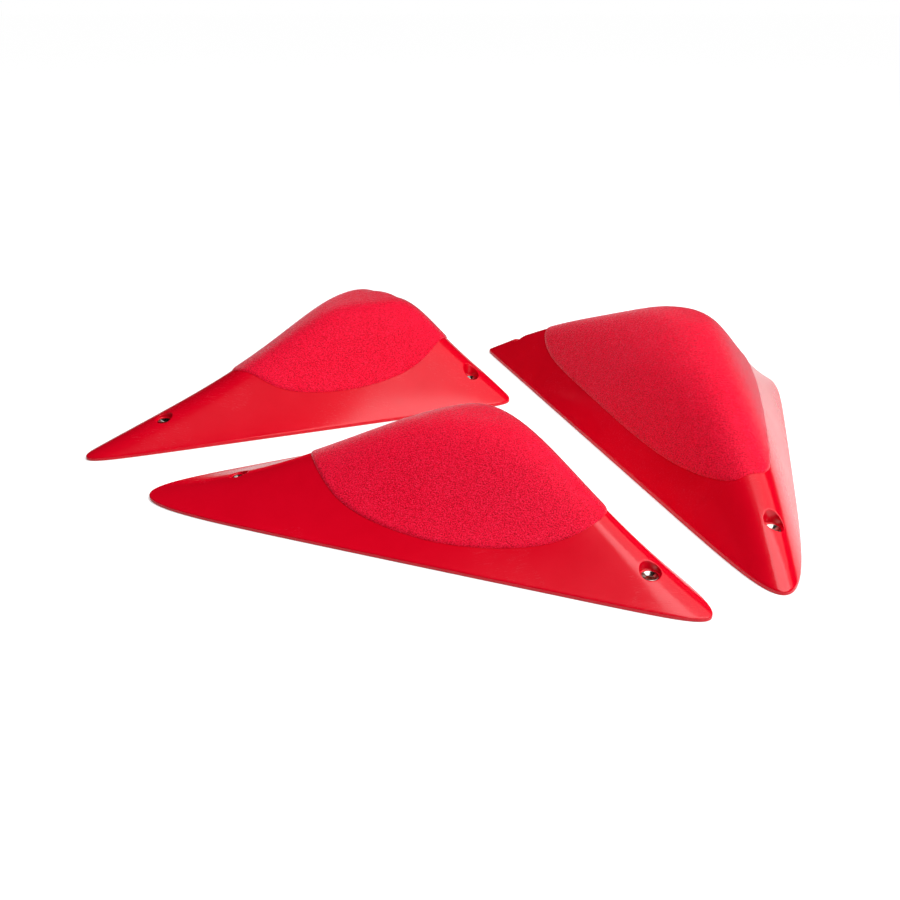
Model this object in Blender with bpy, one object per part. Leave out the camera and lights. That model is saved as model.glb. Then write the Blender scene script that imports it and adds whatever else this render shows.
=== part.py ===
# Set of three sloper climbing holds: hollow glass-fibre shells with a sprayed grip coat.
#
# Each hold is a rounded, unequal triangle in plan that swells into an off-centre crown.
# It lies with its open back on the wall plane, z = 0. Its pieces are
#   the moulded shell, hollow behind, with a countersunk screw well near each tip,
#   the gritty coat sprayed over the crown,
#   a steel cup pressed into the floor of each well, for the head of a wood screw,
#   a wooden block glued behind each well, which carries the screw's pull to the wall.
# All lengths are in metres. The origin is under the middle of the whole set.

import math

import bmesh
import bpy
import numpy as np

# Sizes that all three holds share
EDGE_HEIGHT = 0.003        # square edge left where the shell meets the wall
SHELL_WALL = 0.004         # laminate thickness, square to the surface
COAT_THICKNESS = 0.001     # sprayed grit and resin
FIT_GAP = 0.0003           # gap between pieces that touch

WELL_DIAMETER = 0.015      # mouth of a screw well
WELL_LIP = 0.0015          # well floor below the lowest point of its mouth
CUP_DIAMETER = 0.0120
CUP_HEIGHT = 0.0030
CUP_RIM = 0.0006           # flat ring around the cup's countersink
CUP_FLOOR = 0.0007         # straight part of the cup's hole under the countersink
CUP_PROUD = 0.0004         # cup above the well floor
SCREW_HOLE = 0.0064        # clearance for a 6 mm wood screw
BLOCK_DIAMETER = 0.030     # wooden backing block, before it is shaped to the hollow
BLOCK_HOLE_PLAY = 0.0004   # extra diameter of the screw hole in the block
LEAST_SOFTNESS = 0.01      # of the ridges between the faces, as a share of the climb

# How finely the surfaces are divided
RAYS_PER_EDGE = 14
COAT_RINGS = (0.17, 0.36, 0.55, 0.73, 0.88, 1.0)
BARE_RINGS = (0.28, 0.56, 0.80, 0.94, 1.0)
HOLLOW_RINGS = (0.26, 0.50, 0.72, 0.90, 1.0)
ROUND_SIDES = 16
COAT_CURVE_STEPS = 24      # between two points of the coat's edge

# One entry per hold, in the layout of the set. The corners are those of the sharp
# triangle in plan, counter-clockwise: left tip, front tip, rear tip. Edge 0 runs from
# the left tip to the front tip, edge 1 to the rear tip, edge 2 back to the left tip.
#   reach      how far in from each edge its face climbs by one unit
#   crown      height of the top
#   tip_round  softness of each tip and of the ridge that runs up from it
#   top_round  extra softness of the ridges towards the crown
#   hollow_share, foot_power   how much, and how sharply, each tip's slope dips like a bell;
#              a share below zero makes it bulge instead
#   wells      distance of each tip's well from the edge before and the edge after the tip
#   coat_edge_shares   points on the edge of the grip coat, counter-clockwise, each given by
#              its shares of the left and the front corner; the rear corner has the rest
HOLDS = {
    "left_hold": {
        "corners": ((-0.3637, -0.0563), (0.0646, 0.0909), (-0.1112, 0.3076)),
        "reach": (0.1022, 0.0532, 0.0882),
        "crown": 0.0937,
        "tip_round": (0.136, 0.176, 0.200),
        "top_round": 0.302,
        "hollow_share": (0.44, 0.32, 0.88),
        "foot_power": 3.00,
        "wells": ((0.0372, 0.0286), (0.0267, 0.0378), (0.034, 0.034)),
        "coat_edge_shares": (
            (0.563, 0.220), (0.507, 0.383), (0.360, 0.555), (0.201, 0.672), (0.090, 0.668),
            (0.058, 0.561), (0.070, 0.357), (0.125, 0.203), (0.239, 0.148), (0.438, 0.113),
            (0.549, 0.142),
        ),
    },
    "front_hold": {
        "corners": ((-0.3083, -0.1069), (0.1819, -0.2880), (0.0208, 0.0388)),
        "reach": (0.0971, 0.0549, 0.1193),
        "crown": 0.0752,
        "tip_round": (0.251, 0.209, 0.053),
        "top_round": 0.089,
        "hollow_share": (0.745, 0.489, 0.692),
        "foot_power": 2.26,
        "wells": ((0.0359, 0.0549), (0.0271, 0.0291), (0.034, 0.034)),
        "coat_edge_shares": (
            (0.526, 0.352), (0.409, 0.525), (0.247, 0.656), (0.124, 0.692), (0.062, 0.626),
            (0.049, 0.476), (0.077, 0.222), (0.158, 0.143), (0.349, 0.091), (0.474, 0.101),
            (0.538, 0.197),
        ),
    },
    "right_hold": {
        "corners": ((0.0294, 0.2461), (0.2214, -0.2935), (0.3462, 0.1663)),
        "reach": (0.0967, 0.0826, 0.1017),
        "crown": 0.1008,
        "tip_round": (0.041, 0.251, 0.220),
        "top_round": 0.084,
        "hollow_share": (0.132, -0.281, 0.593),
        "foot_power": 4.645,
        "wells": ((0.024, 0.024), (0.0332, 0.0260), (0.042, 0.040)),
        "coat_edge_shares": (
            (0.558, 0.383), (0.335, 0.613), (0.199, 0.722), (0.137, 0.732), (0.091, 0.697),
            (0.092, 0.558), (0.107, 0.312), (0.153, 0.133), (0.226, 0.083), (0.475, 0.055),
            (0.691, 0.074), (0.759, 0.101), (0.726, 0.194),
        ),
    },
}
TIPS = ("left_tip", "front_tip", "rear_tip")

# Colour, roughness and metallic value of each material
FINISHES = {
    "gelcoat": ((0.60, 0.0, 0.012, 1.0), 0.22, 0.0),
    "grip_coat": ((0.66, 0.012, 0.045, 1.0), 0.90, 0.0),
    "steel": ((0.62, 0.60, 0.57, 1.0), 0.25, 1.0),
    "timber": ((0.50, 0.33, 0.17, 1.0), 0.75, 0.0),
}

BELOW_WALL = 0.006         # how far cutters run past the open back
HOLLOW_DIP = 0.0005        # how far the hollow's rim lies under the wall plane
ABOVE_CROWN = 0.020        # how far cutters run past the top
SLOPE_STEP = 0.0005        # step for measuring the surface's slope
ROD_TURN = 0.37            # turn of the boss rods' flats, as a share of one flat


def clear_scene():
    for old in list(bpy.data.objects):
        bpy.data.objects.remove(old)


def make_material(name):
    colour, roughness, metallic = FINISHES[name]
    material = bpy.data.materials.new(name)
    material.use_nodes = True
    shader = material.node_tree.nodes["Principled BSDF"]
    shader.inputs["Base Color"].default_value = colour
    shader.inputs["Roughness"].default_value = roughness
    shader.inputs["Metallic"].default_value = metallic
    return material


class Form:
    """The outer surface of one hold: a height over each point of its plan."""

    def __init__(self, hold):
        self.hold = hold
        self.corners = np.array(hold["corners"])
        sides = np.roll(self.corners, -1, axis=0) - self.corners
        sides /= np.linalg.norm(sides, axis=1)[:, None]
        self.inward = np.stack([-sides[:, 1], sides[:, 0]], axis=1)
        self.crown = self.find_crown()
        self.top = float(self.climb(*self.crown))

    def shares(self, x, y):
        # Share of each corner in a point of the triangle; the three add up to one.
        rows = np.vstack([self.corners.T, np.ones(3)])
        turned = np.linalg.inv(rows)
        return np.stack([row[0] * x + row[1] * y + row[2] for row in turned])

    def climb(self, x, y):
        # Soft minimum of the three distances to the edges, each over its own reach. It is
        # zero on the outline and largest at the crown, and the softness rounds the ridges.
        x, y = np.asarray(x, float), np.asarray(y, float)
        steps = np.stack([
            ((x - corner[0]) * inward[0] + (y - corner[1]) * inward[1]) / reach
            for corner, inward, reach in zip(self.corners, self.inward, self.hold["reach"])
        ])
        lowest = steps.min(axis=0)
        near = np.clip(self.shares(x, y), 0.0, 1.0)
        soft = np.tensordot(np.array(self.hold["tip_round"]), near, 1)
        soft = np.maximum(soft + self.hold["top_round"] * np.clip(lowest, 0.0, 1.0), LEAST_SOFTNESS)
        return lowest - soft * np.log(np.exp(-(steps - lowest) / soft).sum(axis=0))

    def find_crown(self):
        # The highest point, by closing in on the best of a square of samples.
        middle = self.corners.mean(axis=0)
        half = 0.5 * np.ptp(self.corners, axis=0).max()
        for _ in range(24):
            line = np.linspace(-half, half, 9)
            x, y = np.meshgrid(middle[0] + line, middle[1] + line)
            best = np.argmax(self.climb(x, y))
            middle = np.array([x.flat[best], y.flat[best]])
            half *= 0.5
        return middle

    def height(self, x, y):
        # From the square edge, a rise that is a dome (a quarter sine wave), mixed with a
        # bell (the same wave of a power of the climb) near hollow tips.
        hold = self.hold
        part = np.clip(self.climb(x, y) / self.top, 0.0, 1.0)
        near = np.clip(self.shares(x, y), 0.0, 1.0)
        bell = np.tensordot(np.array(hold["hollow_share"]), near, 1)
        dome = np.sin(0.5 * math.pi * part)
        foot = np.sin(0.5 * math.pi * part ** hold["foot_power"])
        rise = hold["crown"] - EDGE_HEIGHT
        return EDGE_HEIGHT + rise * ((1.0 - bell) * dome + bell * foot)

    def normals(self, x, y):
        step = SLOPE_STEP
        along_x = (self.height(x + step, y) - self.height(x - step, y)) / (2 * step)
        along_y = (self.height(x, y + step) - self.height(x, y - step)) / (2 * step)
        normal = np.stack([-along_x, -along_y, np.ones_like(along_x)], axis=-1)
        return normal / np.linalg.norm(normal, axis=-1)[..., None]

    def inside(self, x, y, depth):
        # Height of the surface that lies a given depth under the outer one.
        return self.height(x, y) - depth / self.normals(x, y)[..., 2]

    def rays(self):
        # Directions from the crown to points on the sharp triangle, crowded at its tips.
        count = np.arange(RAYS_PER_EDGE) / RAYS_PER_EDGE
        along = 0.5 - 0.5 * np.cos(math.pi * count)
        ends = [
            corner + (after - corner) * along[:, None]
            for corner, after in zip(self.corners, np.roll(self.corners, -1, axis=0))
        ]
        return np.concatenate(ends) - self.crown, along

    def cut_rays(self, level):
        # Length of each ray up to where level(x, y) falls to zero, by halving.
        rays, _ = self.rays()
        low, high = np.zeros(len(rays)), np.ones(len(rays))
        for _ in range(40):
            middle = 0.5 * (low + high)
            place = self.crown + rays * middle[:, None]
            above = level(place[:, 0], place[:, 1]) > 0
            low, high = np.where(above, middle, low), np.where(above, high, middle)
        return rays * low[:, None]

    def outline_rays(self):
        return self.cut_rays(self.climb)

    def hollow_rays(self):
        # The hollow's rim lies just under the wall plane, which then cuts its facets cleanly.
        return self.cut_rays(lambda x, y: np.where(
            self.climb(x, y) > 0, self.inside(x, y, SHELL_WALL) + HOLLOW_DIP, -1.0))

    def coat_share(self):
        # The coat's edge is a smooth closed (Catmull-Rom) curve through its points. This is
        # how far out it lies along every ray, as a share of the way to the outline.
        pairs = np.array(self.hold["coat_edge_shares"])
        points = np.column_stack([pairs, 1.0 - pairs.sum(axis=1)]) @ self.corners
        before, first, second, after = [np.roll(points, -k, axis=0) for k in (-1, 0, 1, 2)]
        t = np.arange(COAT_CURVE_STEPS)[:, None, None] / COAT_CURVE_STEPS
        curve = 0.5 * (2 * first + (second - before) * t
                       + (2 * before - 5 * first + 4 * second - after) * t ** 2
                       + (3 * first - before - 3 * second + after) * t ** 3)
        arms = curve.reshape(-1, 2) - self.crown
        rays = self.outline_rays()
        distance = np.interp(np.arctan2(rays[:, 1], rays[:, 0]), np.arctan2(arms[:, 1], arms[:, 0]),
                             np.linalg.norm(arms, axis=1), period=2 * math.pi)
        return distance / np.linalg.norm(rays, axis=1)

    def well_centre(self, tip):
        # The point at the given distances from the edges before and after a tip.
        before, after = self.hold["wells"][tip]
        sides = np.stack([self.inward[tip - 1], self.inward[tip]])
        return self.corners[tip] + np.linalg.solve(sides, np.array([before, after]))


def ring_points(form, rays, shares, lift):
    # One ring of points for each share of the rays. lift gives their places from x and y.
    rings = []
    for share in shares:
        plan = form.crown + rays * np.reshape(share, (-1, 1))
        rings.append(lift(plan[:, 0], plan[:, 1]))
    return rings


def close_rings(name, top, rings, bottom, returning=None):
    # A closed mesh of rings between two poles. All rings run counter-clockwise from above.
    # From the returning ring on they run back inwards, with each quad split along the
    # same line of the plan as on the way out, so that both layers have the same facets.
    mesh = bpy.data.meshes.new(name)
    build = bmesh.new()
    poles = [build.verts.new(top), build.verts.new(bottom)]
    loops = [[build.verts.new(point) for point in ring] for ring in rings]
    size = len(loops[0])
    for i in range(size):
        j = (i + 1) % size
        build.faces.new((poles[0], loops[0][i], loops[0][j]))
        build.faces.new((poles[1], loops[-1][j], loops[-1][i]))
        for k, (upper, lower) in enumerate(zip(loops, loops[1:])):
            if returning is None or k < returning:
                build.faces.new((upper[i], lower[i], lower[j]))
                build.faces.new((upper[i], lower[j], upper[j]))
            else:
                build.faces.new((upper[i], lower[i], upper[j]))
                build.faces.new((upper[j], lower[i], lower[j]))
    build.to_mesh(mesh)
    build.free()
    return mesh


def turned(name, profile, centre, turn=0.0):
    # A solid of revolution about a vertical axis. The profile is a closed ring of
    # (radius, height) points; a radius of zero closes it on the axis. turn shifts the
    # flats by a share of one side, so that no two cutters on one axis share a corner line.
    mesh = bpy.data.meshes.new(name)
    build = bmesh.new()
    angles = 2 * math.pi * (np.arange(ROUND_SIDES) + turn) / ROUND_SIDES
    loops = []
    for radius, height in profile:
        if radius == 0:
            loops.append([build.verts.new((centre[0], centre[1], height))] * ROUND_SIDES)
        else:
            loops.append([
                build.verts.new((centre[0] + radius * math.cos(a), centre[1] + radius * math.sin(a), height))
                for a in angles
            ])
    solid = any(radius == 0 for radius, _ in profile)
    following = loops[1:] if solid else loops[1:] + loops[:1]
    for upper, lower in zip(loops, following):
        for i in range(ROUND_SIDES):
            j = (i + 1) % ROUND_SIDES
            corners = list(dict.fromkeys((upper[i], lower[i], lower[j], upper[j])))
            if len(corners) > 2:
                build.faces.new(corners)
    build.to_mesh(mesh)
    build.free()
    return mesh


def place(name, mesh, material=None, cutter=False, smooth_angle=35.0):
    body = bpy.data.objects.new(name, mesh)
    bpy.context.scene.collection.objects.link(body)
    if cutter:
        body.hide_render = True
        body.display_type = "WIRE"
    else:
        mesh.materials.append(material)
        mesh.shade_smooth()
        mesh.set_sharp_from_angle(angle=math.radians(smooth_angle))
    return body


def combine(body, other, operation):
    modifier = body.modifiers.new(other.name, "BOOLEAN")
    modifier.operation = operation
    modifier.solver = "EXACT"
    modifier.object = other


def combine_all(body, others, operation):
    # One cut with several solids at once, which keeps thin slivers out of the result.
    group = bpy.data.collections.new(f"{body.name}_cutters")
    for other in others:
        group.objects.link(other)
    modifier = body.modifiers.new(group.name, "BOOLEAN")
    modifier.operation = operation
    modifier.solver = "EXACT"
    modifier.operand_type = "COLLECTION"
    modifier.collection = group


def rod(name, radius, low, high, centre):
    profile = ((0, high), (radius, high), (radius, low), (0, low))
    return place(name, turned(name, profile, centre, turn=ROD_TURN), cutter=True)


def well_levels(form, centre):
    # Heights of the well's floor, of the seat under its cup and of the boss behind it.
    turn = 2 * math.pi * np.arange(ROUND_SIDES) / ROUND_SIDES
    mouth = form.height(centre[0] + 0.5 * WELL_DIAMETER * np.cos(turn),
                        centre[1] + 0.5 * WELL_DIAMETER * np.sin(turn))
    floor = float(mouth.min()) - WELL_LIP
    seat = floor + CUP_PROUD - CUP_HEIGHT - FIT_GAP
    return floor, seat, seat - SHELL_WALL


def outer_solid(name, form):
    # The hold as if it were solid: outer surface, square edge and flat back.
    outline = form.outline_rays()
    coat = form.coat_share()
    shares = [coat * ring for ring in COAT_RINGS]
    shares += [coat + (1.0 - coat) * ring for ring in BARE_RINGS]

    def lift(x, y):
        return np.stack([x, y, form.height(x, y)], axis=-1)

    rings = ring_points(form, outline, shares, lift)
    edge = rings[-1].copy()
    edge[:, 2] = EDGE_HEIGHT
    rings[-1] = edge
    back = edge.copy()
    back[:, 2] = 0.0
    rings.append(back)
    top = (*form.crown, form.hold["crown"])
    return close_rings(name, top, rings, (*form.crown, 0.0))


def hollow_solid(name, form, extra=0.0):
    # The space behind the laminate, run on below the wall plane. With extra it lies that
    # much further in, on the same facets, so that what is cut to it clears the shell.
    def lift(x, y):
        return np.stack([x, y, form.inside(x, y, SHELL_WALL + extra)], axis=-1)

    rings = ring_points(form, form.hollow_rays(), HOLLOW_RINGS, lift)
    foot = rings[-1].copy()
    foot[:, 2] = -BELOW_WALL
    rings.append(foot)
    top = lift(form.crown[0], form.crown[1])
    return close_rings(name, top, rings, (*form.crown, -BELOW_WALL))


def grip_coat(name, form):
    # A thin skin that follows the shell's own facets out to the edge of the spraying.
    def layer(distance):
        def lift(x, y):
            surface = np.stack([x, y, form.height(x, y)], axis=-1)
            return surface + distance * form.normals(x, y)
        return lift

    shares = [form.coat_share() * ring for ring in COAT_RINGS]
    outline = form.outline_rays()
    upper = ring_points(form, outline, shares, layer(FIT_GAP + COAT_THICKNESS))
    lower = ring_points(form, outline, shares, layer(FIT_GAP))
    top = (*form.crown, form.hold["crown"] + FIT_GAP + COAT_THICKNESS)
    under = (*form.crown, form.hold["crown"] + FIT_GAP)
    return close_rings(name, top, upper + lower[::-1], under, returning=len(upper))


def well_cutter(name, form, centre):
    # Stepped drill: the well, the seat of the cup and the screw's clearance hole.
    floor, seat, _ = well_levels(form, centre)
    high = form.hold["crown"] + ABOVE_CROWN
    mouth, cup, screw = 0.5 * WELL_DIAMETER, 0.5 * CUP_DIAMETER + FIT_GAP, 0.5 * SCREW_HOLE
    profile = ((0, high), (mouth, high), (mouth, floor), (cup, floor), (cup, seat),
               (screw, seat), (screw, -BELOW_WALL), (0, -BELOW_WALL))
    return place(name, turned(name, profile, centre), cutter=True)


def screw_cup(name, form, centre):
    # Countersunk steel cup: flat foot, straight side, narrow rim and a cone down to its hole.
    _, seat, _ = well_levels(form, centre)
    low = seat + FIT_GAP
    high = low + CUP_HEIGHT
    outer, hole = 0.5 * CUP_DIAMETER, 0.5 * SCREW_HOLE
    profile = ((outer - CUP_RIM, high), (outer, high - 0.5 * CUP_RIM), (outer, low),
               (hole, low), (hole, low + CUP_FLOOR))
    return turned(name, profile, centre)


def backing_block(name, form, centre, core):
    # A round block from the wall plane up to the boss, shaped to the hollow at its sides.
    _, _, boss = well_levels(form, centre)
    radius = 0.5 * BLOCK_DIAMETER
    hole = 0.5 * (SCREW_HOLE + BLOCK_HOLE_PLAY)
    low, high = 0.0, boss - FIT_GAP
    profile = ((radius, high), (radius, low), (hole, low), (hole, high))
    block = place(name, turned(name, profile, centre), MATERIALS["timber"])
    combine(block, core, "INTERSECT")
    return block


def build_hold(name, hold):
    form = Form(hold)
    shell = place(f"{name}_shell", outer_solid(f"{name}_shell", form), MATERIALS["gelcoat"])
    hollow = place(f"{name}_hollow", hollow_solid(f"{name}_hollow", form), cutter=True)
    core = place(f"{name}_core", hollow_solid(f"{name}_core", form, FIT_GAP), cutter=True)
    cutters = [hollow]
    place(f"{name}_grip_coat", grip_coat(f"{name}_grip_coat", form), MATERIALS["grip_coat"])
    for tip, tip_name in enumerate(TIPS):
        centre = form.well_centre(tip)
        _, _, boss = well_levels(form, centre)
        boss_radius = 0.5 * WELL_DIAMETER + SHELL_WALL
        high = hold["crown"] + ABOVE_CROWN
        combine(hollow, rod(f"{name}_boss_{tip_name}", boss_radius, boss, high, centre), "DIFFERENCE")
        cutters.append(well_cutter(f"{name}_drill_{tip_name}", form, centre))
        cup = screw_cup(f"{name}_cup_{tip_name}", form, centre)
        place(cup.name, cup, MATERIALS["steel"])
        backing_block(f"{name}_block_{tip_name}", form, centre, core)
    combine_all(shell, cutters, "DIFFERENCE")


def centred(holds):
    # The layout moved so that the middle of the set's outline box is at the origin.
    outlines = [Form(hold) for hold in holds.values()]
    edges = np.concatenate([form.crown + form.outline_rays() for form in outlines])
    middle = 0.5 * (edges.min(axis=0) + edges.max(axis=0))
    print("middle of the layout, metres:", middle)
    moved = {}
    for name, hold in holds.items():
        corners = tuple(tuple(np.array(corner) - middle) for corner in hold["corners"])
        moved[name] = {**hold, "corners": corners}
    return moved


clear_scene()
MATERIALS = {name: make_material(name) for name in FINISHES}
for hold_name, hold_sizes in centred(HOLDS).items():
    build_hold(hold_name, hold_sizes)
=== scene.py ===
import math

import bpy
import bmesh
import numpy as np
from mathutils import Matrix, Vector, geometry


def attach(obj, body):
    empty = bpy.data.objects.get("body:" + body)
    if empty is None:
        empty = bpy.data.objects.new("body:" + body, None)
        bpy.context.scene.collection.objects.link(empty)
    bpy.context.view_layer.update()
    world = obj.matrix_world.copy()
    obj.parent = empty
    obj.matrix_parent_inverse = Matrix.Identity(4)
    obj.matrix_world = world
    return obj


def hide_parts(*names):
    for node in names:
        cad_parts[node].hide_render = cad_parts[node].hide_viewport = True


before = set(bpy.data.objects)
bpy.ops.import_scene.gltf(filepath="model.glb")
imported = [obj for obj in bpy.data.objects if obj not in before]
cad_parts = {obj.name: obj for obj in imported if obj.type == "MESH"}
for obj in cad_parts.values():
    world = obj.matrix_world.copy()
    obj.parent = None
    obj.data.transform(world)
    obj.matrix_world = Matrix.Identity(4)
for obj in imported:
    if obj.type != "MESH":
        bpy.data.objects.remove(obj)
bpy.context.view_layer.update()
print("frame loaded:", len(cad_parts), "nodes")

mm = 0.001

# Forms of the three holds, in metres. Corners are those of the sharp triangle in plan,
# counter-clockwise: left tip, front tip, rear tip. The other values are explained where
# the surface is worked out, in climbAt and heightAt.
holdForms = {
    "left_hold": {
        "corners": ((-0.36151, -0.06487), (0.06679, 0.08233), (-0.10901, 0.29903)),
        "reach": (0.1022, 0.0532, 0.0882),
        "crown": 0.0937,
        "tipRound": (0.136, 0.176, 0.200),
        "topRound": 0.302,
        "hollowShare": (0.44, 0.32, 0.88),
        "footPower": 3.00,
        "wells": ((0.0372, 0.0286), (0.0267, 0.0378), (0.034, 0.034)),
        "coatEdgeShares": (
            (0.563, 0.220), (0.507, 0.383), (0.360, 0.555), (0.201, 0.672), (0.090, 0.668),
            (0.058, 0.561), (0.070, 0.357), (0.125, 0.203), (0.239, 0.148), (0.438, 0.113),
            (0.549, 0.142),
        ),
    },
    "front_hold": {
        "corners": ((-0.30611, -0.11547), (0.18409, -0.29657), (0.02299, 0.03023)),
        "reach": (0.0971, 0.0549, 0.1193),
        "crown": 0.0752,
        "tipRound": (0.251, 0.209, 0.053),
        "topRound": 0.089,
        "hollowShare": (0.745, 0.489, 0.692),
        "footPower": 2.26,
        "wells": ((0.0359, 0.0549), (0.0271, 0.0291), (0.034, 0.034)),
        "coatEdgeShares": (
            (0.526, 0.352), (0.409, 0.525), (0.247, 0.656), (0.124, 0.692), (0.062, 0.626),
            (0.049, 0.476), (0.077, 0.222), (0.158, 0.143), (0.349, 0.091), (0.474, 0.101),
            (0.538, 0.197),
        ),
    },
    "right_hold": {
        "corners": ((0.03159, 0.23753), (0.22359, -0.30207), (0.34839, 0.15773)),
        "reach": (0.0967, 0.0826, 0.1017),
        "crown": 0.1008,
        "tipRound": (0.041, 0.251, 0.220),
        "topRound": 0.084,
        "hollowShare": (0.132, -0.281, 0.593),
        "footPower": 4.645,
        "wells": ((0.024, 0.024), (0.0332, 0.0260), (0.042, 0.040)),
        "coatEdgeShares": (
            (0.558, 0.383), (0.335, 0.613), (0.199, 0.722), (0.137, 0.732), (0.091, 0.697),
            (0.092, 0.558), (0.107, 0.312), (0.153, 0.133), (0.226, 0.083), (0.475, 0.055),
            (0.691, 0.074), (0.759, 0.101), (0.726, 0.194),
        ),
    },
}
tipNames = ("left_tip", "front_tip", "rear_tip")
firstSoftShare = 0.6            # softness of the first soft minimum, as a share of the tips'


# The surface of a hold

searchSizes = {
    "rounds": 24,               # halvings of the square in which the crown is looked for
    "samples": 9,               # along each side of that square
    "halvings": 40,             # of a ray, to find where it leaves the hold
    "perEdge": 240,             # rays to each edge of the sharp triangle
    "curveSteps": 40,           # between two points of the coat's edge
}
leastSoftness = 0.01            # of any ridge, so that nothing is divided by zero


def prepareForm(form):
    # Works out each edge's inward direction, the corner shares and the crown once.
    corners = np.array(form["corners"])
    sides = np.roll(corners, -1, axis=0) - corners
    sides /= np.linalg.norm(sides, axis=1)[:, None]
    ready = dict(form)
    ready["corners"] = corners
    ready["inward"] = np.stack([-sides[:, 1], sides[:, 0]], axis=1)
    ready["shareRows"] = np.linalg.inv(np.vstack([corners.T, np.ones(3)]))
    middle, half = corners.mean(axis=0), 0.5 * np.ptp(corners, axis=0).max()
    for _ in range(searchSizes["rounds"]):  # close in on the highest of a square of samples
        line = np.linspace(-half, half, searchSizes["samples"])
        x, y = np.meshgrid(middle[0] + line, middle[1] + line)
        best = np.argmax(climbAt(ready, x, y))
        middle, half = np.array([x.flat[best], y.flat[best]]), 0.5 * half
    ready["crownPlan"] = middle
    ready["top"] = float(climbAt(ready, *middle))
    return ready


def cornerShares(form, x, y):
    # How much of each corner a place holds: three planes, each 1 at its own corner and 0 at
    # the other two.
    return np.stack([row[0] * x + row[1] * y + row[2] for row in form["shareRows"]])


def softLowest(steps, soft):
    # Soft minimum: lowest - soft * log(sum of exp(-(step - lowest) / soft)).
    lowest = steps.min(axis=0)
    return lowest - soft * np.log(np.exp(-(steps - lowest) / soft).sum(axis=0))


def climbAt(form, x, y):
    # Soft minimum of the distances to the three edges, each divided by its reach. Zero on
    # the outline. The softness is the tips' own plus topRound times a first soft minimum,
    # which has no crease where two flanks meet.
    x, y = np.asarray(x, float), np.asarray(y, float)
    steps = np.stack([
        ((x - corner[0]) * inward[0] + (y - corner[1]) * inward[1]) / reach
        for corner, inward, reach in zip(form["corners"], form["inward"], form["reach"])
    ])
    near = np.clip(cornerShares(form, x, y), 0.0, 1.0)
    tipSoft = np.maximum(np.tensordot(np.array(form["tipRound"]), near, 1), leastSoftness)
    first = softLowest(steps, firstSoftShare * tipSoft)
    return softLowest(steps, tipSoft + form["topRound"] * np.clip(first, 0.0, 1.0))


shellSizes = {
    "edgeHeight": 3.0 * mm,     # square edge at the wall
    "wall": 4.0 * mm,           # laminate thickness
    "edgeRound": 0.9 * mm,      # rounding of the edge's upper corner
    "footChamfer": 0.4 * mm,
    "lattice": 3.0 * mm,        # spacing of the points on the outer face
    "insideLattice": 5.0 * mm,
    "outlineStep": 1.6 * mm,
    "hollowStep": 3.2 * mm,
    "lipMargin": 1.0 * mm,      # between the last row along the outline and the lattice
    "hollowMargin": 2.0 * mm,
    "lipRows": (0.0, 0.06, 0.16, 0.32, 0.55, 0.9, 1.4, 2.1, 3.0, 4.2, 5.8, 7.8),  # in mm
    "hollowRows": (0.0, 1.5, 4.0),  # in mm
    "slopeStep": 0.3 * mm,      # over which a slope is measured
    "sharpAngle": 40.0,         # degrees between faces whose edge stays sharp
}


def heightAt(form, x, y):
    # Edge height plus a rise, which is a dome, sin(pi/2 * climb), mixed with a bell,
    # sin(pi/2 * climb ** power), near hollow tips.
    part = np.clip(climbAt(form, x, y) / form["top"], 0.0, 1.0)
    near = np.clip(cornerShares(form, x, y), 0.0, 1.0)
    bell = np.tensordot(np.array(form["hollowShare"]), near, 1)
    dome = np.sin(0.5 * math.pi * part)
    foot = np.sin(0.5 * math.pi * part ** form["footPower"])
    rise = form["crown"] - shellSizes["edgeHeight"]
    return shellSizes["edgeHeight"] + rise * ((1.0 - bell) * dome + bell * foot)


def onSurface(form, plan):
    # Points of the outer face over points of the plan.
    return np.column_stack([plan, heightAt(form, plan[:, 0], plan[:, 1])])


def normalsAt(form, x, y):
    # Upward normals from central differences of the height.
    step = shellSizes["slopeStep"]
    alongX = (heightAt(form, x + step, y) - heightAt(form, x - step, y)) / (2 * step)
    alongY = (heightAt(form, x, y + step) - heightAt(form, x, y - step)) / (2 * step)
    normal = np.stack([-alongX, -alongY, np.ones_like(alongX)], axis=-1)
    return normal / np.linalg.norm(normal, axis=-1)[..., None]


def underAt(form, x, y, depth):
    # The surface a given thickness below the outer one, measured square to it.
    return heightAt(form, x, y) - depth / normalsAt(form, x, y)[..., 2]


def cutRays(form, rays, level):
    # The point of each ray from the crown at which level falls to zero, by halving.
    low, high = np.zeros(len(rays)), np.ones(len(rays))
    for _ in range(searchSizes["halvings"]):
        middle = 0.5 * (low + high)
        spot = form["crownPlan"] + rays * middle[:, None]
        above = level(spot[:, 0], spot[:, 1]) > 0
        low, high = np.where(above, middle, low), np.where(above, high, middle)
    return form["crownPlan"] + rays * low[:, None]


def edgeRays(form):
    # Rays from the crown to points on the sharp triangle's edges, crowded at the corners:
    # the share along an edge is 0.5 - 0.5 * cos(pi * number / count).
    perEdge = searchSizes["perEdge"]
    along = 0.5 - 0.5 * np.cos(math.pi * np.arange(perEdge) / perEdge)
    corners = form["corners"]
    ends = [a + (b - a) * along[:, None] for a, b in zip(corners, np.roll(corners, -1, axis=0))]
    return np.concatenate(ends) - form["crownPlan"]


def evenLoop(loop, spacing):
    # The same closed loop with its points spread evenly along its length.
    closed = np.vstack([loop, loop[:1]])
    run = np.concatenate([[0.0], np.cumsum(np.linalg.norm(np.diff(closed, axis=0), axis=1))])
    count = max(meshSizes["fewest"], int(round(run[-1] / spacing)))
    where = run[-1] * np.arange(count) / count
    return np.stack([np.interp(where, run, closed[:, k]) for k in range(2)], axis=1)


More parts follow.
